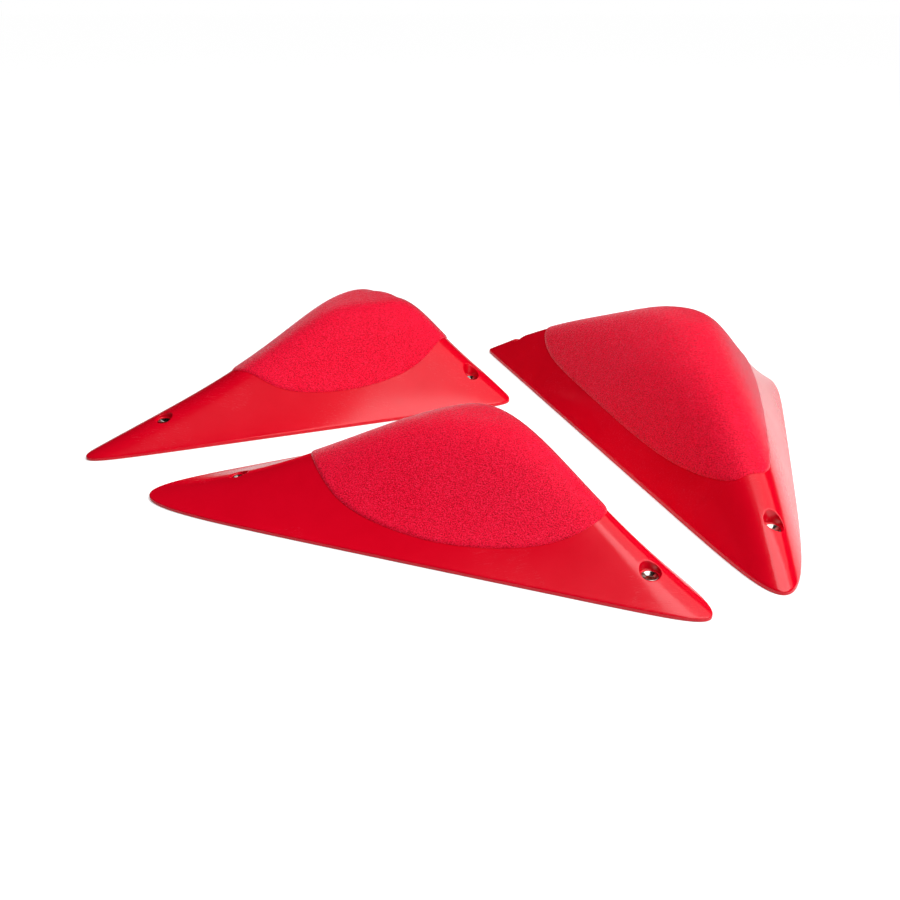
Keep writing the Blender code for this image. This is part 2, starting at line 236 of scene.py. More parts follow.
def insetLoop(loop, distance):
    # Every point of a counter-clockwise loop moved inwards, square to the loop.
    along = np.roll(loop, -1, axis=0) - np.roll(loop, 1, axis=0)
    along /= np.linalg.norm(along, axis=1)[:, None]
    return loop + distance * np.stack([-along[:, 1], along[:, 0]], axis=1)


def outlineOf(form):
    # Where the climb falls to zero.
    return cutRays(form, edgeRays(form), lambda x, y: climbAt(form, x, y))


def hollowOutlineOf(form):
    # Where the surface one wall below the outer one meets the wall plane.
    return cutRays(form, edgeRays(form), lambda x, y: np.where(
        climbAt(form, x, y) > 0, underAt(form, x, y, shellSizes["wall"]), -1.0))


def coatOutlineOf(form):
    # A smooth closed (Catmull-Rom) curve through the coat's points, each of which is a
    # mixture of the three corners.
    pairs = np.array(form["coatEdgeShares"])
    points = np.column_stack([pairs, 1.0 - pairs.sum(axis=1)]) @ form["corners"]
    before, first, second, after = [np.roll(points, -k, axis=0)[:, None] for k in (-1, 0, 1, 2)]
    steps = searchSizes["curveSteps"]
    t = (np.arange(steps) / steps)[None, :, None]
    curve = 0.5 * (2 * first + (second - before) * t
                   + (2 * before - 5 * first + 4 * second - after) * t ** 2
                   + (3 * first - before - 3 * second + after) * t ** 3)
    return curve.reshape(-1, 2)


# Meshing helpers

meshSizes = {
    "chunks": 12,               # parts into which long lists of points are split
    "batch": 3000,              # points whose distances are worked out at once
    "weld": 1e-8,               # closer points count as one in a triangulation
    "hair": 0.01 * mm,          # keeps faces on a ring's own side of it
    "fewest": 12,               # points on any loop
}


def insideLoop(loop, points):
    # Even-odd rule, for all points at once.
    x, y = points[:, 0][:, None], points[:, 1][:, None]
    ax, ay = loop[:, 0][None], loop[:, 1][None]
    bx, by = np.roll(loop[:, 0], -1)[None], np.roll(loop[:, 1], -1)[None]
    spans = (ay > y) != (by > y)
    run = np.where(by == ay, 1.0, by - ay)
    return (np.sum(spans & (x < (bx - ax) * (y - ay) / run + ax), axis=1) % 2) == 1


def insideInParts(loop, points):
    # The same for a long list, a part at a time.
    parts = np.array_split(points, meshSizes["chunks"])
    return np.concatenate([insideLoop(loop, part) for part in parts])


def distanceTo(loop, points):
    # Distance from each point to the nearest point of a loop.
    parts, batch = [], meshSizes["batch"]
    for start in range(0, len(points), batch):
        gap = points[start:start + batch, None, :] - loop[None, :, :]
        parts.append(np.sqrt((gap ** 2).sum(axis=2).min(axis=1)))
    return np.concatenate(parts) if parts else np.zeros(0)


def latticeIn(loop, spacing, margin, holes=(), holeMargin=0.0):
    # Points of a triangular lattice inside a loop, clear of its edge and of round holes.
    low, high = loop.min(axis=0), loop.max(axis=0)
    xs = np.arange(low[0], high[0], spacing)
    ys = np.arange(low[1], high[1], spacing * math.sqrt(0.75))
    x, y = np.meshgrid(xs, ys)
    x[1::2] += 0.5 * spacing
    points = np.stack([x.ravel(), y.ravel()], axis=1)
    points = points[insideInParts(loop, points)]
    points = points[distanceTo(loop, points) > margin]
    for centre, radius in holes:
        points = points[np.linalg.norm(points - centre, axis=1) > radius + holeMargin]
    return points


def triangulate(points, outline, holes=()):
    # Triangles of a flat set of points inside an outline of points and outside round holes.
    count = len(outline)
    rim = [(i, (i + 1) % count) for i in range(count)]
    spots = [Vector(point) for point in points.tolist()]
    faces = np.array(geometry.delaunay_2d_cdt(spots, rim, [], 0, meshSizes["weld"], False)[2])
    middle = points[faces].mean(axis=1)
    keep = insideInParts(outline, middle)
    for centre, radius in holes:
        keep &= np.linalg.norm(middle - centre, axis=1) > radius
    return faces[keep]


def circle(centre, radius, count):
    # Points (cos, sin) times the radius, evenly round the centre.
    turn = 2 * math.pi * np.arange(count) / count
    return centre + radius * np.stack([np.cos(turn), np.sin(turn)], axis=1)


def strip(first, second):
    # Faces of the band between two rings of the same count, given by their point numbers.
    return np.stack([first, second, np.roll(second, -1), np.roll(first, -1)], axis=1)


def meshFrom(name, points, faceSets, materials, sharpAngle):
    # A mesh from points and several sets of faces, each with its own material number.
    mesh = bpy.data.meshes.new(name)
    faces, slots = [], []
    for faceSet, slot in faceSets:
        faces += faceSet.tolist()
        slots += [slot] * len(faceSet)
    mesh.from_pydata(points.tolist(), [], faces)
    mesh.polygons.foreach_set("material_index", np.array(slots, dtype=np.int32))
    for material in materials:
        mesh.materials.append(material)
    build = bmesh.new()
    build.from_mesh(mesh)
    bmesh.ops.recalc_face_normals(build, faces=build.faces[:])
    build.to_mesh(mesh)
    build.free()
    mesh.shade_smooth()
    mesh.set_sharp_from_angle(angle=math.radians(sharpAngle))
    piece = bpy.data.objects.new(name, mesh)
    bpy.context.scene.collection.objects.link(piece)
    return piece


# Screw wells

wellSizes = {
    "diameter": 15.0 * mm,
    "lip": 1.5 * mm,            # floor below the lowest point of the mouth
    "mouthRound": 0.8 * mm,
    "floorRound": 1.2 * mm,
    "cupDiameter": 12.0 * mm,
    "cupHeight": 3.0 * mm,
    "cupProud": 0.4 * mm,
    "gap": 0.3 * mm,
    "screwHole": 6.4 * mm,
    "turns": 72,                # points around each well
    "mouthSamples": 16,         # points where the mouth's lowest place is looked for
    "floorAngles": (0.0, 22.5, 45.0, 67.5, 90.0),  # rings of the floor's rounding
    "bossOverlap": 0.1 * mm,    # least height of a boss's wall
    "mouthRings": (0.0, 0.1, 0.25, 0.5, 0.8, 1.4, 2.4, 4.0),  # outside the mouth, in mm
}


def wellCentre(form, tip):
    # The place at the form's two distances from the edges that meet in this tip.
    sides = np.stack([form["inward"][tip - 1], form["inward"][tip]])
    return form["corners"][tip] + np.linalg.solve(sides, np.array(form["wells"][tip]))


def wellLevels(form, centre):
    # Heights of the well's floor, of the cup's seat and of the boss behind the well.
    mouth = circle(centre, 0.5 * wellSizes["diameter"], wellSizes["mouthSamples"])
    floor = float(heightAt(form, mouth[:, 0], mouth[:, 1]).min()) - wellSizes["lip"]
    seat = floor + wellSizes["cupProud"] - wellSizes["cupHeight"] - wellSizes["gap"]
    return floor, seat, seat - shellSizes["wall"]


def quarterDrop(distance, radius):
    # Depth of a quarter round at a distance from its edge.
    inside = np.clip(radius - distance, 0.0, radius)
    return radius - np.sqrt(np.maximum(radius ** 2 - inside ** 2, 0.0))


def buildShell(name, form, materials):
    # Outer face over the plan, rounded edge, wells and bosses, and the hollow inside, as
    # one closed skin. Both faces are heights over points of the plan; bands of rings join
    # them around the outline and down through every well.
    sizes, wells = shellSizes, wellSizes
    turns = wells["turns"]
    centres = [wellCentre(form, tip) for tip in range(3)]
    levels = [wellLevels(form, centre) for centre in centres]
    mouth = 0.5 * wells["diameter"]
    boss = mouth + sizes["wall"]

    outline = evenLoop(outlineOf(form), sizes["outlineStep"])
    rows = [insetLoop(outline, row * mm) for row in sizes["lipRows"]]
    drops = [np.full(len(outline), quarterDrop(row * mm, sizes["edgeRound"]))
             for row in sizes["lipRows"]]
    for centre in centres:
        for ring in wells["mouthRings"]:
            rows.append(circle(centre, mouth + ring * mm, turns))
            drops.append(np.full(turns, quarterDrop(ring * mm, wells["mouthRound"])))
    clear = mouth + wells["mouthRings"][-1] * mm
    margin = sizes["lipRows"][-1] * mm + sizes["lipMargin"]
    lattice = latticeIn(outline, sizes["lattice"], margin,
                        [(centre, clear) for centre in centres], 0.5 * sizes["lattice"])
    rows.append(lattice)
    drops.append(np.zeros(len(lattice)))
    plan = np.vstack(rows)
    outer = onSurface(form, plan)
    outer[:, 2] -= np.concatenate(drops)
    hair = meshSizes["hair"]
    outerFaces = triangulate(plan, outline, [(centre, mouth - hair) for centre in centres])
    rimTop = np.arange(len(outline))
    firstRing = len(outline) * len(sizes["lipRows"])
    perWell = turns * len(wells["mouthRings"])
    mouthRings = [firstRing + tip * perWell + np.arange(turns) for tip in range(3)]

    hollow = evenLoop(hollowOutlineOf(form), sizes["hollowStep"])
    inRows = [insetLoop(hollow, row * mm) for row in sizes["hollowRows"]]
    inRows += [circle(centre, boss, turns) for centre in centres]
    margin = sizes["hollowRows"][-1] * mm + sizes["hollowMargin"]
    spacing = sizes["insideLattice"]
    inRows.append(latticeIn(hollow, spacing, margin,
                            [(centre, boss) for centre in centres], 0.5 * spacing))
    inPlan = np.vstack(inRows)
    inHeight = np.maximum(underAt(form, inPlan[:, 0], inPlan[:, 1], sizes["wall"]), 0.0)
    inHeight[:len(hollow)] = 0.0
    bossStart = len(hollow) * len(sizes["hollowRows"])
    for tip in range(3):
        ring = slice(bossStart + tip * turns, bossStart + (tip + 1) * turns)
        inHeight[ring] = np.maximum(inHeight[ring], levels[tip][2] + wells["bossOverlap"])
    inner = np.column_stack([inPlan, inHeight])
    innerFaces = triangulate(inPlan, hollow, [(centre, boss - hair) for centre in centres])

    points = [outer, inner]
    total = len(outer) + len(inner)
    gelcoat, laminate = [outerFaces], [innerFaces[:, ::-1] + len(outer)]

    def addRing(plan2, height):
        nonlocal total
        points.append(np.column_stack([plan2, np.broadcast_to(height, len(plan2))]))
        numbers = total + np.arange(len(plan2))
        total += len(plan2)
        return numbers

    # Rim: down the square edge, round its foot, then a flat band in to the hollow.
    foot = addRing(outline, sizes["footChamfer"])
    sole = addRing(insetLoop(outline, sizes["footChamfer"]), 0.0)
    gelcoat += [strip(rimTop, foot), strip(foot, sole)]
    soleLoop = points[-1][:, :2]
    flatFaces = triangulateBand(np.vstack([soleLoop, hollow]), len(soleLoop))
    lookUp = np.concatenate([sole, len(outer) + np.arange(len(hollow))])
    laminate.append(lookUp[flatFaces])

    # Wells: wall, rounded floor, cup seat, screw hole, boss face and boss wall.
    for tip, (centre, (floor, seat, back)) in enumerate(zip(centres, levels)):
        ring = mouthRings[tip]
        corner = wells["floorRound"]
        for angle in np.radians(wells["floorAngles"]):
            radius = mouth - corner * (1.0 - math.cos(angle))
            height = floor + corner * (1.0 - math.sin(angle))
            following = addRing(circle(centre, radius, turns), height)
            gelcoat.append(strip(ring, following))
            ring = following
        cup, screw = 0.5 * wells["cupDiameter"] + wells["gap"], 0.5 * wells["screwHole"]
        for radius, height in ((cup, floor), (cup, seat), (screw, seat)):
            following = addRing(circle(centre, radius, turns), height)
            gelcoat.append(strip(ring, following))
            ring = following
        for radius in (screw, boss):
            following = addRing(circle(centre, radius, turns), back)
            laminate.append(strip(ring, following))
            ring = following
        bossRing = len(outer) + bossStart + tip * turns + np.arange(turns)
        laminate.append(strip(ring, bossRing))
    quads = [faces for faces in gelcoat if faces.shape[1] == 4]
    triangles = [faces for faces in gelcoat if faces.shape[1] == 3]
    inQuads = [faces for faces in laminate if faces.shape[1] == 4]
    inTriangles = [faces for faces in laminate if faces.shape[1] == 3]
    faceSets = [(np.vstack(triangles), 0), (np.vstack(quads), 0),
                (np.vstack(inTriangles), 1), (np.vstack(inQuads), 1)]
    return meshFrom(f"{name}_moulded_shell", np.vstack(points), faceSets, materials,
                    sizes["sharpAngle"])


def triangulateBand(points, outerCount):
    # Triangles of the flat band between an outer and an inner loop of points.
    innerCount = len(points) - outerCount
    edges = [(i, (i + 1) % outerCount) for i in range(outerCount)]
    edges += [(outerCount + i, outerCount + (i + 1) % innerCount) for i in range(innerCount)]
    spots = [Vector(point) for point in points.tolist()]
    faces = np.array(geometry.delaunay_2d_cdt(spots, edges, [], 0, meshSizes["weld"], False)[2])
    middle = points[faces].mean(axis=1)
    keep = insideLoop(points[:outerCount], middle) & ~insideLoop(points[outerCount:], middle)
    return faces[keep]


# Grip coat

coatSizes = {
    "thickness": 1.0 * mm,
    "gap": 0.3 * mm,
    "edgeHeight": 0.25 * mm,    # the edge is feathered up from here
    "edgeWidth": 2.5 * mm,
    "seat": 0.02 * mm,          # lower edge above the gelcoat
    "lattice": 1.15 * mm,
    "underLattice": 5.0 * mm,
    "edgeRows": (0.0, 0.15, 0.4, 0.9, 1.6, 2.5),   # in mm
    "edgeWander": 0.25 * mm,    # unevenness of the masked edge
    "grain": 0.13 * mm,         # height of the sand grains that are modelled
    "smoothEdge": 0.3 * mm,     # without grains
    "jitter": 0.25,             # of the lattice, for each inner point
    "waves": (23, 41, 67, 97),  # of the edge's unevenness, around the coat
    "waveShare": 0.35,
    "innerMargin": 0.5 * mm,    # between the last edge row and the lattice
    "underMargin": 2.5 * mm,
    "sharpAngle": 70.0,         # degrees between faces whose edge stays sharp
    "seed": 7,
}


def buildCoat(name, form, material):
    # A skin over the crown: points of the plan raised square to the shell and every inner
    # point lifted or sunk a little by its own grain of sand. The edge is feathered: it falls
    # short of the full height by the square of the share of its width that is left.
    sizes = coatSizes
    random = np.random.default_rng(sizes["seed"])
    loop = evenLoop(coatOutlineOf(form), sizes["lattice"])
    count = len(loop)
    turn = np.arange(count) / count * 2 * math.pi
    wander = sum(np.sin(turn * waves + random.uniform(0, 2 * math.pi)) / math.sqrt(waves)
                 for waves in sizes["waves"])
    loop = insetLoop(loop, 0.5 * sizes["edgeWander"])
    outwards = unit(loop - form["crownPlan"])
    loop = loop + sizes["waveShare"] * sizes["edgeWander"] * wander[:, None] * outwards
    rows = [insetLoop(loop, row * mm) for row in sizes["edgeRows"]]
    margin = sizes["edgeRows"][-1] * mm + sizes["innerMargin"]
    inside = latticeIn(loop, sizes["lattice"], margin)
    jitter = sizes["jitter"]
    inside = inside + random.uniform(-jitter, jitter, inside.shape) * sizes["lattice"]
    plan = np.vstack(rows + [inside])
    depth = np.concatenate([np.full(count, row * mm) for row in sizes["edgeRows"]]
                           + [np.full(len(inside), 1.0)])
    top = sizes["gap"] + sizes["thickness"]
    short = 1.0 - np.clip(depth / sizes["edgeWidth"], 0.0, 1.0)
    raised = top - (top - sizes["edgeHeight"]) * short ** 2
    grain = random.normal(0.0, 1.0, len(plan)) * sizes["grain"] * 0.5
    grain = np.clip(grain, -sizes["grain"], 0.4 * sizes["grain"])
    raised = raised + np.where(depth > sizes["smoothEdge"], grain, 0.0)
    upper = onSurface(form, plan) + raised[:, None] * normalsAt(form, plan[:, 0], plan[:, 1])
    upperFaces = triangulate(plan, loop)

    under = np.vstack([loop, latticeIn(loop, sizes["underLattice"], sizes["underMargin"])])
    lift = np.where(np.arange(len(under)) < count, sizes["seat"], sizes["gap"])
    lower = onSurface(form, under) + lift[:, None] * normalsAt(form, under[:, 0], under[:, 1])
    lowerFaces = triangulate(under, loop)[:, ::-1] + len(upper)
    edge = np.arange(count)
    side = strip(edge, len(upper) + edge)
    faceSets = [(upperFaces, 0), (lowerFaces, 0), (side, 0)]
    return meshFrom(f"{name}_sanded_crown", np.vstack([upper, lower]), faceSets, [material],
                    sizes["sharpAngle"])


def unit(vectors):
    return vectors / np.linalg.norm(vectors, axis=-1)[..., None]


# Steel cups

cupSizes = {
    "rim": 0.6 * mm,
    "floor": 0.7 * mm,          # straight part of the hole under the cone
    "round": 0.25 * mm,
    "sides": 64,
    "sharpAngle": 50.0,
}


def buildCup(name, form, tip, material):
    # A turned ring: points (radius, height) of its closed profile carried round the axis.
    wells, sizes = wellSizes, cupSizes
    centre = wellCentre(form, tip)
    _, seat, _ = wellLevels(form, centre)
    low = seat + wells["gap"]
    high = low + wells["cupHeight"]
    outer, hole, soft = 0.5 * wells["cupDiameter"], 0.5 * wells["screwHole"], sizes["round"]
    cone = outer - sizes["rim"]
    coneFoot = low + sizes["floor"]
    profile = np.array([
        (outer - soft, low), (outer, low + soft), (outer, high - 2 * soft),
        (outer - 0.3 * soft, high - 0.6 * soft), (outer - soft, high - 0.1 * soft),
        (cone + 0.5 * soft, high), (cone, high - 0.2 * soft), (cone - soft, high - 1.1 * soft),
        (0.5 * (cone + hole), 0.5 * (high + coneFoot) - 0.1 * soft),
        (hole + soft, coneFoot + soft), (hole, coneFoot - 0.5 * soft),
        (hole, low + soft), (hole + 0.5 * soft, low),
    ])
    sides = sizes["sides"]
    points = np.concatenate([
        np.column_stack([circle(centre, radius, sides), np.full(sides, height)])
        for radius, height in profile])
    numbers = np.arange(len(points)).reshape(len(profile), -1)
    bands = [strip(a, b) for a, b in zip(numbers, np.roll(numbers, -1, axis=0))]
    return meshFrom(f"{name}_countersunk_cup_{tipNames[tip]}", points,
                    [(np.vstack(bands), 0)], [material], sizes["sharpAngle"])


# Materials. Sizes of textures are scales: waves or cells to a metre.

def newGroup(name, inputs, outputs):
    # A node group with named inputs (label, kind, value) and outputs (label, kind).
    group = bpy.data.node_groups.new(name, "ShaderNodeTree")
    for label, kind, value in inputs:
        socket = group.interface.new_socket(label, in_out="INPUT", socket_type=kind)
        socket.default_value = value
    for label, kind in outputs:
        group.interface.new_socket(label, in_out="OUTPUT", socket_type=kind)
    start = group.nodes.new("NodeGroupInput")
    end = group.nodes.new("NodeGroupOutput")
    return group, start, end


def addNode(tree, kind, values=None, **settings):
    node = tree.nodes.new(kind)
    for key, value in settings.items():
        setattr(node, key, value)
    for key, value in (values or {}).items():
        node.inputs[key].default_value = value
    return node


def addMath(tree, operation, first, second=0.0, clamp=False):
    node = addNode(tree, "ShaderNodeMath", operation=operation, use_clamp=clamp)
    for socket, value in zip(node.inputs, (first, second)):
        if isinstance(value, (int, float)):
            socket.default_value = value
        else:
            tree.links.new(value, socket)
    return node.outputs[0]


def addMix(tree, factor, first, second):
    node = addNode(tree, "ShaderNodeMix", data_type="RGBA", blend_type="MIX")
    for number, value in ((0, factor), (6, first), (7, second)):
        socket = node.inputs[number]
        if isinstance(value, (int, float, tuple)):
            socket.default_value = value
        else:
            tree.links.new(value, socket)
    return node.outputs[2]


def addOver(tree, under, over, mask, share):
    # One colour laid over another by mask * share.
    return addMix(tree, addMath(tree, "MULTIPLY", mask, share), under, over)


def addRange(tree, value, low, high, toLow=0.0, toHigh=1.0):
    # toLow + (toHigh - toLow) * (value - low) / (high - low), held between the two ends.
    node = addNode(tree, "ShaderNodeMapRange", {1: low, 2: high, 3: toLow, 4: toHigh})
    tree.links.new(value, node.inputs[0])
    return node.outputs[0]


unevenLook = {
    "fineness": 6.3,            # size of the fine noise against the coarse one
    "shares": (0.65, 0.35),     # of the coarse and of the fine noise
    "ends": (0.32, 0.68),       # of the sum, for a mask of 0 and of 1
}


def makeUneven():
    # Slow, cloudy variation: 0.65 * coarse noise + 0.35 * fine noise, stretched to 0 to 1.
    look = unevenLook
    group, start, end = newGroup(
        "uneven",
        [("Vector", "NodeSocketVector", (0, 0, 0)), ("Size", "NodeSocketFloat", 20.0)],
        [("Mask", "NodeSocketFloat")])
    coarse = addNode(group, "ShaderNodeTexNoise", {"Detail": 3.0, "Roughness": 0.55})
    fine = addNode(group, "ShaderNodeTexNoise", {"Detail": 4.0, "Roughness": 0.6})
    group.links.new(start.outputs["Vector"], coarse.inputs["Vector"])
    group.links.new(start.outputs["Vector"], fine.inputs["Vector"])
    group.links.new(start.outputs["Size"], coarse.inputs["Scale"])
    group.links.new(addMath(group, "MULTIPLY", start.outputs["Size"], look["fineness"]),
                    fine.inputs["Scale"])
    large = addMath(group, "MULTIPLY", coarse.outputs["Fac"], look["shares"][0])
    small = addMath(group, "MULTIPLY", fine.outputs["Fac"], look["shares"][1])
    both = addMath(group, "ADD", large, small)
    group.links.new(addRange(group, both, *look["ends"]), end.inputs["Mask"])
    return group


scuffsLook = {
    "turn": (0.3, 0.2, 0.7),
    "stretch": (1.0, 14.0, 6.0),
    "line": 0.012,              # half the width of a mark, in values of the noise
    "patches": 9.0,
}


def makeScuffs():
    # Fine handling marks: thin bands of a stretched noise, 1 - |noise - 0.5| / line, kept
    # where a second noise is above the spread.
    look = scuffsLook
    group, start, end = newGroup(
        "scuffs",
        [("Vector", "NodeSocketVector", (0, 0, 0)), ("Size", "NodeSocketFloat", 60.0),
         ("Spread", "NodeSocketFloat", 0.5)],
        [("Mask", "NodeSocketFloat")])
    turn = addNode(
        group, "ShaderNodeMapping", {"Rotation": look["turn"], "Scale": look["stretch"]})
    group.links.new(start.outputs["Vector"], turn.inputs["Vector"])
    lines = addNode(group, "ShaderNodeTexNoise", {"Detail": 2.0, "Roughness": 0.5})
    group.links.new(turn.outputs["Vector"], lines.inputs["Vector"])
    group.links.new(start.outputs["Size"], lines.inputs["Scale"])
    thin = addMath(group, "ABSOLUTE", addMath(group, "SUBTRACT", lines.outputs["Fac"], 0.5))
    thin = addRange(group, thin, 0.0, look["line"], 1.0, 0.0)
    patches = addNode(group, "ShaderNodeTexNoise", {"Scale": look["patches"], "Detail": 2.0})
    group.links.new(start.outputs["Vector"], patches.inputs["Vector"])
    rare = addMath(group, "GREATER_THAN", patches.outputs["Fac"], start.outputs["Spread"])
    group.links.new(addMath(group, "MULTIPLY", thin, rare), end.inputs["Mask"])
    return group


def newMaterial(name, colour, roughness, settings=None):
    material = bpy.data.materials.new(name)
    material.use_nodes = True
    tree = material.node_tree
    shader = tree.nodes["Principled BSDF"]
    shader.inputs["Base Color"].default_value = colour
    shader.inputs["Roughness"].default_value = roughness
    for key, value in (settings or {}).items():
        shader.inputs[key].default_value = value
    place = tree.nodes.new("ShaderNodeTexCoord").outputs["Object"]
    return material, tree, shader, place


def useGroup(tree, group, place, **values):
    node = tree.nodes.new("ShaderNodeGroup")
    node.node_tree = group
    tree.links.new(place, node.inputs["Vector"])
    for key, value in values.items():
        node.inputs[key].default_value = value
    return node.outputs["Mask"]


def addBump(tree, shader, height, strength, distance):
    bump = addNode(tree, "ShaderNodeBump", {"Strength": strength, "Distance": distance})
    tree.links.new(height, bump.inputs["Height"])
    tree.links.new(bump.outputs["Normal"], shader.inputs["Normal"])


def addNoise(tree, place, **values):
    # A noise read at a place; Scale, Detail and Roughness by name.
    noise = addNode(tree, "ShaderNodeTexNoise", values)
    tree.links.new(place, noise.inputs["Vector"])
    return noise.outputs["Fac"]


gelcoatLook = {
    "red": (0.81, 0.0, 0.016, 1.0),
    "deepRed": (0.74, 0.0, 0.013, 1.0),
    "roughness": (0.13, 0.19),
    "scuffRoughness": 0.22,
    "gloss": {"IOR": 1.48},
    "clouds": 9.0,
    "scuffs": 45.0,
    "scuffSpread": 0.56,        # the higher, the fewer the patches with scuffs
    "ripple": 240.0,            # slight orange peel
    "relief": (0.12, 0.15 * mm),  # strength and height
}


def makeGelcoat(uneven, scuffs):
    # Red between two shades by the clouds; roughness by the clouds plus the scuffs.
    look = gelcoatLook
    material, tree, shader, place = newMaterial("red_gelcoat", look["red"], 0.2, look["gloss"])
    cloud = useGroup(tree, uneven, place, Size=look["clouds"])
    red = addMix(tree, cloud, look["deepRed"], look["red"])
    tree.links.new(red, shader.inputs["Base Color"])
    marks = useGroup(tree, scuffs, place, Size=look["scuffs"], Spread=look["scuffSpread"])
    smooth = addRange(tree, cloud, 0.0, 1.0, *look["roughness"])
    dull = addMath(tree, "MULTIPLY", marks, look["scuffRoughness"])
    tree.links.new(addMath(tree, "ADD", smooth, dull, True), shader.inputs["Roughness"])
    peel = addNoise(tree, place, Scale=look["ripple"], Detail=2.0, Roughness=0.4)
    addBump(tree, shader, peel, *look["relief"])
    return material


coatLook = {
    # The darker speck colour is a painted shade in the low specks, the hollows between the
    # grains. The pale speck colour is a painted highlight on the high specks and a paler tone in
    # the clouds.
    "crimson": (1.0, 0.002, 0.036, 1.0),
    "paintedShade": (0.46, 0.0, 0.005, 1.0),
    "paintedGlintAndPaleTone": (1.0, 0.05, 0.13, 1.0),
    "sheen": {"Specular IOR Level": 0.08, "Sheen Weight": 1.00, "Sheen Roughness": 0.24,
              "Sheen Tint": (1.0, 0.80, 0.84, 1.0)},
    "grain": 1150.0,            # grains of sand a little under a millimetre apart
    "cells": 920.0,
    "clouds": 14.0,
    "paintedShadeEnds": (0.34, 0.50),  # specks with a painted shade, from wholly to not at all
    "paintedGlintEnds": (0.55, 0.68),  # specks with a painted highlight, from not at all to fully
    "paintedGlintShare": 0.6,
    "cloudShare": 0.08,
    "roughEnds": (0.3, 0.7, 0.65, 0.40),  # low and high speck, roughness there
    "reliefShares": (0.8, -0.6),
    "relief": (1.0, 0.45 * mm),
}


def makeGripCoat(uneven):
    # Crimson, with a painted shade in the low specks and a painted highlight on the high ones,
    # and paler in the clouds.
    # Relief: 0.8 * specks - 0.6 * distance to the nearest grain.
    look = coatLook
    material, tree, shader, place = newMaterial(
        "sanded_grip_coat", look["crimson"], 0.86, look["sheen"])
    grains = addNode(tree, "ShaderNodeTexVoronoi", {"Scale": look["cells"], "Randomness": 1.0})
    tree.links.new(place, grains.inputs["Vector"])
    specks = addNoise(tree, place, Scale=look["grain"], Detail=2.0, Roughness=0.6)
    # low: painted shade in the hollows between the grains; high: painted highlight on the grain
    # tops
    low = addRange(tree, specks, *look["paintedShadeEnds"], 1.0, 0.0)
    high = addRange(tree, specks, *look["paintedGlintEnds"])
    cloud = useGroup(tree, uneven, place, Size=look["clouds"])
    base = addMix(tree, low, look["crimson"], look["paintedShade"])
    base = addOver(tree, base, look["paintedGlintAndPaleTone"], high, look["paintedGlintShare"])
    cloudedCoat = addOver(tree, base, look["paintedGlintAndPaleTone"], cloud, look["cloudShare"])
    tree.links.new(cloudedCoat, shader.inputs["Base Color"])
    tree.links.new(addRange(tree, specks, *look["roughEnds"]), shader.inputs["Roughness"])
    relief = addMath(
        tree, "ADD", addMath(tree, "MULTIPLY", specks, look["reliefShares"][0]),
        addMath(tree, "MULTIPLY", grains.outputs["Distance"], look["reliefShares"][1]))
    addBump(tree, shader, relief, *look["relief"])
    return material


laminateLook = {
    "red": (0.45, 0.05, 0.04, 1.0),
    "resin": ((0.36, 0.03, 0.025, 1.0), (0.52, 0.09, 0.06, 1.0)),
    "strand": (0.72, 0.33, 0.27, 1.0),
    "finish": {"Coat Weight": 0.3, "Coat Roughness": 0.2},
    "turns": ((0.2, 0.4, 0.3), (0.5, -0.3, 1.5), (-0.4, 0.3, 2.5)),
    "stretch": (1.0, 18.0, 4.0),
    "strands": 34.0,
    "strandEnds": (0.55, 0.66),
    "strandShare": 0.55,
    "clouds": 12.0,
    "roughness": (0.32, 0.55),  # of the bare resin and over a strand
    "relief": (0.5, 0.4 * mm),
}


def makeLaminate(uneven):
    # Back of the moulding: resin over chopped glass strands, red gelcoat showing through.
    # The strands are the greatest of three stretched noises, each turned its own way.
    look = laminateLook
    material, tree, shader, place = newMaterial(
        "glass_laminate", look["red"], 0.42, look["finish"])
    masks = []
    for turn in look["turns"]:
        spin = addNode(tree, "ShaderNodeMapping", {"Rotation": turn, "Scale": look["stretch"]})
        tree.links.new(place, spin.inputs["Vector"])
        strands = addNoise(tree, spin.outputs["Vector"], Scale=look["strands"], Detail=2.0)
        masks.append(addRange(tree, strands, *look["strandEnds"]))
    mat = addMath(tree, "MAXIMUM", addMath(tree, "MAXIMUM", masks[0], masks[1]), masks[2])
    cloud = useGroup(tree, uneven, place, Size=look["clouds"])
    resin = addMix(tree, cloud, *look["resin"])
    colour = addOver(tree, resin, look["strand"], mat, look["strandShare"])
    tree.links.new(colour, shader.inputs["Base Color"])
    rough = addRange(tree, mat, 0.0, 1.0, *look["roughness"])
    tree.links.new(rough, shader.inputs["Roughness"])
    addBump(tree, shader, addMath(tree, "ADD", mat, cloud), *look["relief"])
    return material


steelLook = {
    "grey": (0.48, 0.45, 0.42, 1.0),
    "shades": ((0.38, 0.34, 0.30, 1.0), (0.58, 0.55, 0.52, 1.0)),
    "clouds": 260.0,
    "scuffs": 500.0,
    "scuffSpread": 0.4,
    "roughness": (0.14, 0.26),
    "scuffRoughness": 0.2,
    "relief": (0.15, 0.05 * mm),
}


def makeSteel(uneven, scuffs):
    # Grey between two shades by the clouds; roughness by the clouds plus the scuffs.
    look = steelLook
    material, tree, shader, place = newMaterial(
        "zinc_plated_steel", look["grey"], 0.2, {"Metallic": 1.0})
    cloud = useGroup(tree, uneven, place, Size=look["clouds"])
    tree.links.new(addMix(tree, cloud, *look["shades"]), shader.inputs["Base Color"])
    marks = useGroup(tree, scuffs, place, Size=look["scuffs"], Spread=look["scuffSpread"])
    smooth = addRange(tree, cloud, 0.0, 1.0, *look["roughness"])
    dull = addMath(tree, "MULTIPLY", marks, look["scuffRoughness"])
    tree.links.new(addMath(tree, "ADD", smooth, dull), shader.inputs["Roughness"])
    addBump(tree, shader, cloud, *look["relief"])
    return material


